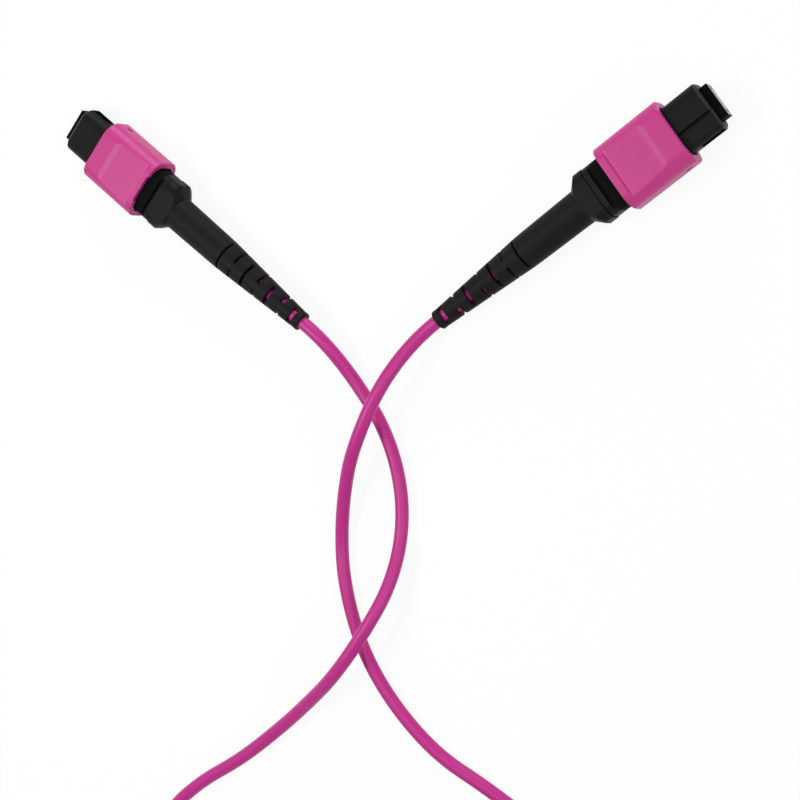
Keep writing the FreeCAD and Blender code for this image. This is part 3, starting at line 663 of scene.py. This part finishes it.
# cable: from boot a over the table, through the tied coil of spare length, and back to boot b; route in mm
cable = {
    "diameter": 2.5, "length": 1.0, "order": 3, "stepsAlong": 12, "stepsAround": 6,
    "fromBootA": [
        (-25.22, 0, 4.1), (-46.6, 0, 4.1), (-57.22, 0, 4.1), (-67.3, -3.5, 6.75), (-77.9, -9.4, 6.75),
        (-85.0, -13.6, 3.6), (-91.9, -19.7, 1.25), (-96.6, -26.9, 1.25), (-100.3, -36.4, 1.25),
        (-101.7, -45.4, 1.25), (-101.2, -54.9, 1.25), (-99.1, -63.8, 1.25), (-94.8, -72.0, 1.25),
        (-91.0, -80.9, 1.25), (-90.6, -90.9, 1.25), (-95.8, -99.6, 1.25), (-105.6, -104.8, 1.5)],
    "coil": {
        "centre": (-122.0, -88.0), "radii": (17.5, 12.5), "heights": (1.75, 4.0), "turnsPerLayer": 3,
        "start": -70, "leave": -124, "pointsPerTurn": 16, "swell": 0.75, "climb": 12},
    "toBootB": [
        (-144.2, -94.8, 2.2), (-154.4, -87.0, 1.25), (-162.8, -78.2, 1.25), (-168.6, -68.6, 1.25),
        (-170.2, -58.6, 1.25), (-166.0, -49.6, 1.25), (-157.4, -43.4, 1.25), (-147.0, -42.3, 1.25),
        (-136.3, -43.2, 1.25), (-124.9, -42.6, 1.25), (-115.2, -41.8, 3.4), (-105.8, -40.8, 6.75),
        (-95.6, -37.4, 6.75), (-87.8, -33.2, 4.2), (-81.3, -26.7, 1.6), (-75.9, -18.6, 1.25),
        (-72.8, -8.9, 1.25), (-72.6, 1.7, 1.25), (-72.24, 10.0, 4.1), (-74.59, 18.09, 4.1),
        (-81.16, 40.73, 4.1)],
}
coil = cable["coil"]
centreX, centreY = coil["centre"]
outerRadius, innerRadius = coil["radii"]
lower, upper = coil["heights"]
sweep = 360 * 2 * coil["turnsPerLayer"] + coil["start"] - coil["leave"]  # degrees, clockwise from above
steps = round(sweep / 360 * coil["pointsPerTurn"])
# the spline runs a little inside its points
outside = 1 / math.cos(math.pi / coil["pointsPerTurn"]) ** coil["swell"]
turns = []
for step in range(steps + 1):
    share = step / steps
    inward = 1 - abs(1 - 2 * share)  # to the inside on the lower layer, back out on the upper one
    radius = (outerRadius + (innerRadius - outerRadius) * inward) * outside
    rise = min(1, max(0, (share - 0.5) * coil["climb"] + 0.5))  # half way along
    height = lower + (upper - lower) * rise
    angle = math.radians(coil["start"] - sweep * share)
    turns.append((centreX + radius * math.cos(angle), centreY + radius * math.sin(angle), height))
route = cable["fromBootA"] + turns + cable["toBootB"]
jacketCurve = bpy.data.curves.new("cableJacket", "CURVE")
jacketCurve.dimensions = "3D"
spline = jacketCurve.splines.new("NURBS")
spline.points.add(len(route) - 1)
for point, (x, y, z) in zip(spline.points, route):
    point.co = (x * mm, y * mm, z * mm, 1)
spline.order_u = cable["order"]
spline.use_endpoint_u = True
spline.resolution_u = cable["stepsAlong"]
jacketCurve.bevel_depth = cable["diameter"] / 2 * mm
jacketCurve.bevel_resolution = cable["stepsAround"]
jacketCurve.use_fill_caps = True
jacketCurve.materials.append(cableJacket)
jacket = bpy.data.objects.new("cableJacket", jacketCurve)
scene.collection.objects.link(jacket)
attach(jacket, "patch_cable")
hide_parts("cable_run_a", "cable_run_b", "cable_coil")
print("cable laid,", len(route), "points")


# strap round the coil: one flat tape with its tongue laid over itself on top
strap = {
    "outer": 18.85, "inner": 10.6, "bottom": 0.4, "top": 5.35, "thickness": 0.4, "width": 6.0,
    "direction": 40, "easing": (0.12, 3, 40),
    "tongue": {"start": 12.2, "length": 6.0, "thickness": 0.45, "narrower": 0.3, "sunk": 0.02},
}
thickness = strap["thickness"]
opening = strap["top"] - strap["bottom"]
middle = (strap["bottom"] + strap["top"]) / 2
loop = addBar(
    strap["outer"] + thickness, strap["inner"] - thickness, strap["width"], opening + 2 * thickness, 0, middle)
carve(loop, addBar(strap["outer"], strap["inner"], strap["width"] * 2, opening, 0, middle))
tongue = strap["tongue"]
carve(loop, addBar(
    tongue["start"] + tongue["length"], tongue["start"], strap["width"] - tongue["narrower"],
    tongue["thickness"], 0, strap["top"] + thickness + tongue["thickness"] / 2 - tongue["sunk"]), "UNION")
soften(loop, *strap["easing"])
moved = Matrix.Translation((*coil["centre"], 0))
turned = moved @ Matrix.Rotation(math.radians(strap["direction"]), 4, "Z")
loop.data.transform(Matrix.Scale(mm, 4) @ turned)
loop.name = "coilStrap"
loop.data.materials.append(strapWeave)
smooth(loop)
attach(loop, "patch_cable")
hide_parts("coil_tie")
print("strap closed")


# inner pieces keep their own solids
innerFinish = {
    "ferrule_boot": softSilicone, "pin_clamp": springSteel, "ferrule_spring": springSteel,
    "fibre_ribbon": fibreAcrylate, "coupling_spring_left": springSteel,
    "coupling_spring_right": springSteel, "crimp_ring": crimpNickel,
}
for node, material in innerFinish.items():
    for end in "ab":
        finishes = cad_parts[node + "_" + end].data.materials
        finishes.clear()
        finishes.append(material)
print("inner pieces finished")


# white table and soft studio light
studio = {"floorSize": 8.0, "floorDrop": 0.0002, "floorWhite": 0.9, "worldFill": 0.2}


def seenWhite(tree):  # 1 for the rays that show the background: camera, glossy and transmission
    rays = addNode(tree, "LightPath")
    seen = addNode(tree, "Math", {"operation": "ADD"}, {
        0: rays.outputs["Is Camera Ray"], 1: rays.outputs["Is Glossy Ray"]})
    seen = addNode(tree, "Math", {"operation": "ADD", "use_clamp": True}, {
        0: seen.outputs["Value"], 1: rays.outputs["Is Transmission Ray"]})
    return seen.outputs["Value"]


deselectAll()
bpy.ops.mesh.primitive_plane_add(size=studio["floorSize"], location=(0, 0, -studio["floorDrop"]))
floor = bpy.context.object
floor.name = "paperTable"
# table: uncoated paper, matt white, seen as nearly plain white that keeps a faint shadow
paper, tree, shader = newMaterial("whitePaper")
fillInputs(tree, shader, {"Base Color": linear("#FCFCFC"), "Roughness": 0.9, "Specular IOR Level": 0.1})
share = addNode(tree, "Math", {"operation": "MULTIPLY"}, {0: seenWhite(tree), 1: studio["floorWhite"]})
glow = addNode(tree, "Emission", inputs={"Color": (1, 1, 1, 1), "Strength": 1.0})
mixed = addNode(tree, "MixShader", inputs={
    0: share.outputs["Value"], 1: shader.outputs["BSDF"], 2: glow.outputs["Emission"]})
fillInputs(tree, tree.nodes["Material Output"], {"Surface": mixed.outputs["Shader"]})
floor.data.materials.append(paper)

world = bpy.data.worlds.new("studioWorld")
scene.world = world
world.use_nodes = True
tree = world.node_tree
level = addNode(tree, "MapRange", inputs={
    "Value": seenWhite(tree), "To Min": studio["worldFill"], "To Max": 1.0})
fillInputs(tree, tree.nodes["Background"], {"Color": (1, 1, 1, 1), "Strength": level.outputs["Result"]})

lamps = {
    "leftSoftbox": {"place": (-0.2, 0.075, 0.3), "aim": (-0.06, 0.03, 0.0), "size": 0.12, "power": 0.52},
    "topSoftbox": {"place": (0.05, -0.06, 0.5), "aim": (-0.05, 0.01, 0.0), "size": 0.25, "power": 0.52},
    "backSoftbox": {"place": (0.28, 0.42, 0.1), "aim": (-0.04, 0.02, 0.0), "size": 0.3, "power": 1.6},
    "frontFill": {"place": (0.25, -0.35, 0.35), "aim": (-0.04, 0.0, 0.0), "size": 0.4, "power": 1.0},
}
for name, lamp in lamps.items():
    light = bpy.data.lights.new(name, "AREA")
    light.size = lamp["size"]
    light.energy = lamp["power"]
    softbox = bpy.data.objects.new(name, light)
    scene.collection.objects.link(softbox)
    softbox.location = lamp["place"]
    toAim = Vector(lamp["aim"]) - Vector(lamp["place"])
    softbox.rotation_euler = toAim.to_track_quat("-Z", "Y").to_euler()
print("studio lit")
